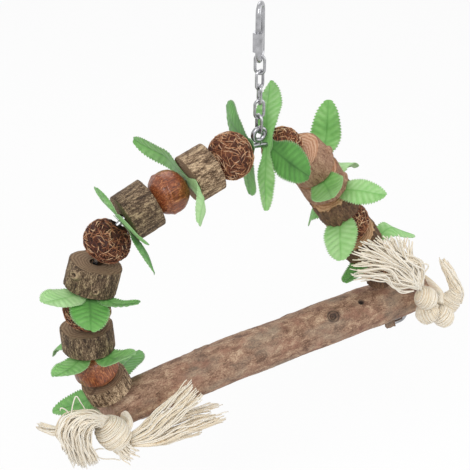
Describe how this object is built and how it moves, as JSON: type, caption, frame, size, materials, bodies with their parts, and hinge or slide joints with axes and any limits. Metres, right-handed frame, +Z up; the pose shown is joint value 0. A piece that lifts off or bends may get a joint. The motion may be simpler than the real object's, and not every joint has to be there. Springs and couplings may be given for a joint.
{
  "type": "bird swing",
  "caption": "Hanging bird swing: wood perch under a bent wire arch strung with husk balls, branch slices and leaves, with cotton rope tassels and a short chain to a quick link.",
  "frame": {"origin": "hang point: the inside of the top of the quick link", "axes": "+Z up through the hang point, +X along the perch to the viewer's right, -Y towards the viewer; the arch lies in the XZ plane"},
  "size_m": [0.4076, 0.1113, 0.3471],
  "materials": {
    "link_steel": "bright zinc-plated steel",
    "wire_steel": "drawn steel wire",
    "husk": "coarse brown husk fibre",
    "smooth_nut": "smooth polished nut shell",
    "slice_wood": "branch with dry bark and pale cut faces",
    "perch_wood": "smooth mottled branch",
    "leaf_silk": "embossed green leaf cloth",
    "cotton": "loose cream cotton yarn"
  },
  "bodies": {
    "quick_link": {"quick_link_body": "link_steel"},
    "quick_nut": {"quick_link_nut": "link_steel"},
    "link_1": {"chain_link_1": "link_steel"},
    "link_2": {"chain_link_2": "link_steel"},
    "link_3": {"chain_link_3": "link_steel"},
    "link_4": {"chain_link_4": "link_steel"},
    "link_5": {"chain_link_5": "link_steel"},
    "swing": {"arch_wire": "wire_steel", "perch": "perch_wood", "leaf_sprig_1": "leaf_silk", "leaf_sprig_2": "leaf_silk", "leaf_sprig_3": "leaf_silk", "leaf_sprig_4": "leaf_silk", "leaf_sprig_5": "leaf_silk", "leaf_sprig_6": "leaf_silk", "leaf_sprig_7": "leaf_silk", "leaf_sprig_8": "leaf_silk", "leaf_sprig_9": "leaf_silk", "leaf_sprig_10": "leaf_silk", "leaf_sprig_11": "leaf_silk", "left_rope": "cotton", "left_knot": "cotton", "left_tassel": "cotton", "left_side_tassel": "cotton", "right_rope": "cotton", "right_knot": "cotton", "right_tassel": "cotton", "right_side_tassel": "cotton"},
    "ball_1_body": {"ball_1": "husk"},
    "ball_2_body": {"ball_2": "smooth_nut"},
    "ball_3_body": {"ball_3": "husk"},
    "ball_4_body": {"ball_4": "husk"},
    "ball_5_body": {"ball_5": "smooth_nut"},
    "ball_6_body": {"ball_6": "husk"},
    "ball_7_body": {"ball_7": "husk"},
    "ball_8_body": {"ball_8": "husk"},
    "slice_1_body": {"slice_1": "slice_wood"},
    "slice_2_body": {"slice_2": "slice_wood"},
    "slice_3_body": {"slice_3": "slice_wood"},
    "slice_4_body": {"slice_4": "slice_wood"},
    "slice_5_body": {"slice_5": "slice_wood"},
    "slice_6_body": {"slice_6": "slice_wood"},
    "slice_7_body": {"slice_7": "slice_wood"},
    "slice_8_body": {"slice_8": "slice_wood"},
    "slice_9_body": {"slice_9": "slice_wood"},
    "slice_10_body": {"slice_10": "slice_wood"}
  },
  "joints": [
    {"name": "gate_nut_slide", "type": "slide", "parent": "quick_link", "child": "quick_nut", "axis": [0, 0, 1], "range_m": [0, 0.011]},
    {"name": "link_1_hinge", "type": "hinge", "parent": "quick_link", "child": "link_1", "pos_m": [0, 0, -0.041], "axis": [0.7071, 0.7071, 0], "range_deg": [-20, 20]},
    {"name": "link_2_hinge", "type": "hinge", "parent": "link_1", "child": "link_2", "pos_m": [0, 0, -0.05225], "axis": [0.7071, -0.7071, 0], "range_deg": [-15, 15]},
    {"name": "link_3_hinge", "type": "hinge", "parent": "link_2", "child": "link_3", "pos_m": [0, 0, -0.0644], "axis": [0.9659, 0.2588, 0], "range_deg": [-10, 10]},
    {"name": "link_4_hinge", "type": "hinge", "parent": "link_3", "child": "link_4", "pos_m": [0, 0, -0.07655], "axis": [0.2588, 0.9659, 0], "range_deg": [-10, 10]},
    {"name": "link_5_hinge", "type": "hinge", "parent": "link_4", "child": "link_5", "pos_m": [0, 0, -0.0887], "axis": [0.9659, -0.2588, 0], "range_deg": [-12, 12]},
    {"name": "swing_hinge", "type": "hinge", "parent": "link_5", "child": "swing", "pos_m": [0, 0, -0.10085], "axis": [0, 1, 0], "range_deg": [-12, 12]},
    {"name": "ball_1_spin", "type": "hinge", "parent": "swing", "child": "ball_1_body", "pos_m": [-0.02488, 0, -0.11353], "axis": [-0.9881, 0, -0.154], "continuous": true},
    {"name": "ball_2_spin", "type": "hinge", "parent": "swing", "child": "ball_2_body", "pos_m": [-0.07806, 0, -0.12769], "axis": [-0.9638, 0, -0.2668], "continuous": true},
    {"name": "ball_3_spin", "type": "hinge", "parent": "swing", "child": "ball_3_body", "pos_m": [-0.12954, 0, -0.15226], "axis": [-0.6211, 0, -0.7837], "continuous": true},
    {"name": "ball_4_spin", "type": "hinge", "parent": "swing", "child": "ball_4_body", "pos_m": [-0.14922, 0, -0.20557], "axis": [-0.1121, 0, -0.9937], "continuous": true},
    {"name": "ball_5_spin", "type": "hinge", "parent": "swing", "child": "ball_5_body", "pos_m": [-0.14562, 0, -0.25984], "axis": [0.2719, 0, -0.9623], "continuous": true},
    {"name": "ball_6_spin", "type": "hinge", "parent": "swing", "child": "ball_6_body", "pos_m": [0.02103, 0, -0.12114], "axis": [0.8822, 0, -0.4709], "continuous": true},
    {"name": "ball_7_spin", "type": "hinge", "parent": "swing", "child": "ball_7_body", "pos_m": [0.08664, 0, -0.20944], "axis": [0.4976, 0, -0.8674], "continuous": true},
    {"name": "ball_8_spin", "type": "hinge", "parent": "swing", "child": "ball_8_body", "pos_m": [0.11384, 0, -0.25685], "axis": [0.4976, 0, -0.8674], "continuous": true},
    {"name": "slice_1_spin", "type": "hinge", "parent": "swing", "child": "slice_1_body", "pos_m": [-0.05112, 0, -0.12023], "axis": [-0.9638, 0, -0.2668], "continuous": true},
    {"name": "slice_2_spin", "type": "hinge", "parent": "swing", "child": "slice_2_body", "pos_m": [-0.10366, 0, -0.13484], "axis": [-0.9465, 0, -0.3228], "continuous": true},
    {"name": "slice_3_spin", "type": "hinge", "parent": "swing", "child": "slice_3_body", "pos_m": [-0.14258, 0, -0.17732], "axis": [-0.3137, 0, -0.9495], "continuous": true},
    {"name": "slice_4_spin", "type": "hinge", "parent": "swing", "child": "slice_4_body", "pos_m": [-0.15017, 0, -0.23101], "axis": [-0.0192, -0.1504, -0.9884], "continuous": true},
    {"name": "slice_5_spin", "type": "hinge", "parent": "swing", "child": "slice_5_body", "pos_m": [-0.13772, 0, -0.28191], "axis": [0.3234, -0.1801, -0.929], "continuous": true},
    {"name": "slice_6_spin", "type": "hinge", "parent": "swing", "child": "slice_6_body", "pos_m": [0.04296, 0, -0.13815], "axis": [0.648, 0, -0.7617], "continuous": true},
    {"name": "slice_7_spin", "type": "hinge", "parent": "swing", "child": "slice_7_body", "pos_m": [0.05865, 0, -0.16065], "axis": [0.4976, 0, -0.8674], "continuous": true},
    {"name": "slice_8_spin", "type": "hinge", "parent": "swing", "child": "slice_8_body", "pos_m": [0.07221, 0, -0.18428], "axis": [0.4976, 0, -0.8674], "continuous": true},
    {"name": "slice_9_spin", "type": "hinge", "parent": "swing", "child": "slice_9_body", "pos_m": [0.09984, 0, -0.23246], "axis": [0.4976, 0, -0.8674], "continuous": true},
    {"name": "slice_10_spin", "type": "hinge", "parent": "swing", "child": "slice_10_body", "pos_m": [0.12413, 0, -0.27481], "axis": [0.3063, 0, -0.9519], "continuous": true}
  ]
}
